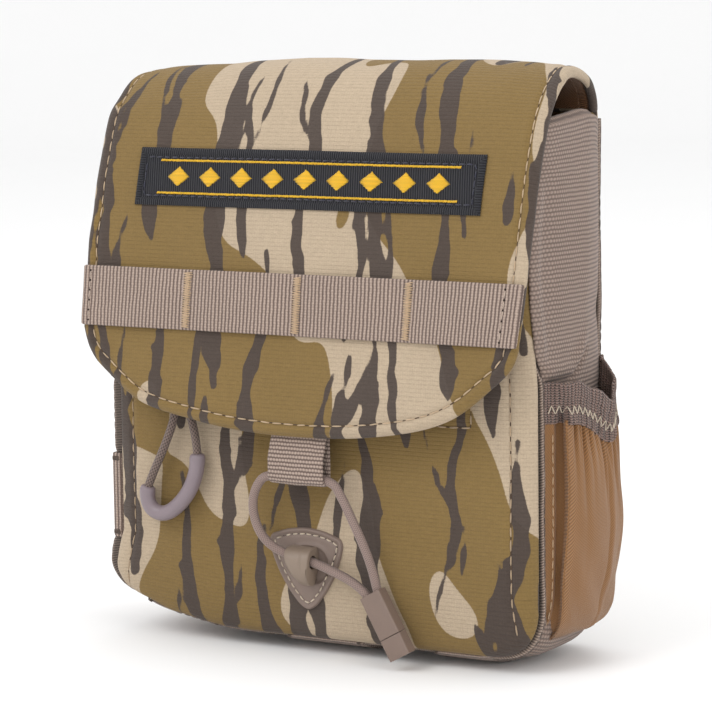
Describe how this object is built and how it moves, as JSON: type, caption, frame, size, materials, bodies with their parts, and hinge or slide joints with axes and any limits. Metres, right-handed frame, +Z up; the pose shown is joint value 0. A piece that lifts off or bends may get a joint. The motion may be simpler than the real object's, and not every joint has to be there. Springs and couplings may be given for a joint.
{
  "type": "flap pouch",
  "caption": "Foam-backed field pouch with a hinged flap, bungee-and-hook closure, zipped front pocket, elastic side pocket, lashing loops and snap-down belt straps.",
  "frame": {"origin": "middle of the base: centre of the bounding box of the pouch without its free cords, on the surface the bottom lashing loops stand on", "axes": "+X to the wearer's-view right (the side pocket's side), -Y out of the front, +Z up"},
  "size_m": [0.1896, 0.0814, 0.2075],
  "materials": {
    "camo_fabric": "brushed foam-backed cloth with a printed camouflage of tan, olive and dark bark streaks",
    "foam": "closed-cell foam sheet",
    "lining_fabric": "plain copper-brown lining cloth",
    "webbing": "ribbed mauve-brown webbing",
    "binding_tape": "twill binding tape",
    "tan_thread": "light tan sewing thread",
    "patch_weave": "black woven twill patch with a ribbed border",
    "gold_thread": "gold satin-stitch embroidery",
    "pocket_fabric": "coyote-brown twill",
    "elastic": "ribbed mauve elastic",
    "zip_tape": "woven zip tape",
    "zip_teeth": "moulded acetal teeth",
    "slider_metal": "matt brown painted die casting",
    "pull_cord": "braided cord",
    "sleeve_rubber": "smooth mauve-grey rubber",
    "bungee": "fine braided cover over elastic",
    "hook_rubber": "matt moulded rubber",
    "cord_end_plastic": "matt moulded plastic",
    "snap_metal": "antique brass"
  },
  "bodies": {
    "pouch": {"back_binding": "binding_tape", "back_panel": "camo_fabric", "bottom_loop_left": "webbing", "bottom_loop_middle": "webbing", "bottom_loop_right": "webbing", "front_binding": "binding_tape", "front_panel": "camo_fabric", "hook_shield": "hook_rubber", "main_lining": "lining_fabric", "side_gusset": "webbing", "side_loop_lower": "webbing", "side_loop_middle": "webbing", "side_loop_upper": "webbing", "side_pocket": "pocket_fabric", "side_pocket_elastic": "elastic", "snap_studs": "snap_metal", "strap_anchor_left": "webbing", "strap_anchor_right": "webbing", "zip_end_stops": "zip_teeth", "zip_pocket_wall": "lining_fabric", "zip_tape": "zip_tape", "zip_teeth": "zip_teeth"},
    "flap": {"flap_shell": "camo_fabric", "flap_foam": "foam", "flap_lining": "lining_fabric", "flap_webbing": "webbing", "flap_bartacks": "tan_thread", "flap_patch": "patch_weave", "patch_stitching": "gold_thread", "closure_tab": "webbing"},
    "bungee_loop": {"bungee_cord": "bungee", "cord_end_body": "cord_end_plastic", "cord_end_cap": "cord_end_plastic"},
    "slider": {"zip_slider": "slider_metal"},
    "zip_pull": {"zip_pull_cord": "pull_cord", "zip_pull_sleeve": "sleeve_rubber", "zip_pull_knot": "pull_cord"},
    "strap_left": {"belt_strap_left": "webbing", "snap_cap_left": "snap_metal"},
    "strap_right": {"belt_strap_right": "webbing", "snap_cap_right": "snap_metal"}
  },
  "joints": [
    {"name": "flap_hinge", "type": "hinge", "parent": "pouch", "child": "flap", "pos_m": [-0.00409, 0.03328, 0.1902], "axis": [-1, 0, 0], "range_deg": [0, 150]},
    {"name": "bungee_swing", "type": "hinge", "parent": "flap", "child": "bungee_loop", "pos_m": [-0.00309, -0.03712, 0.066], "axis": [-1, 0, 0], "range_deg": [0, 120], "deforming": ["bungee_cord"]},
    {"name": "zip_slide", "type": "slide", "parent": "pouch", "child": "slider", "axis": [1, 0, 0], "range_m": [0, 0.1]},
    {"name": "pull_swing", "type": "hinge", "parent": "slider", "child": "zip_pull", "pos_m": [-0.05409, -0.03102, 0.096], "axis": [0, -1, 0], "range_deg": [-12, 25]},
    {"name": "strap_left_hinge", "type": "hinge", "parent": "pouch", "child": "strap_left", "pos_m": [-0.04909, 0.03613, 0.15], "axis": [1, 0, 0], "range_deg": [0, 120]},
    {"name": "strap_right_hinge", "type": "hinge", "parent": "pouch", "child": "strap_right", "pos_m": [0.04091, 0.03613, 0.15], "axis": [1, 0, 0], "range_deg": [0, 120]}
  ]
}
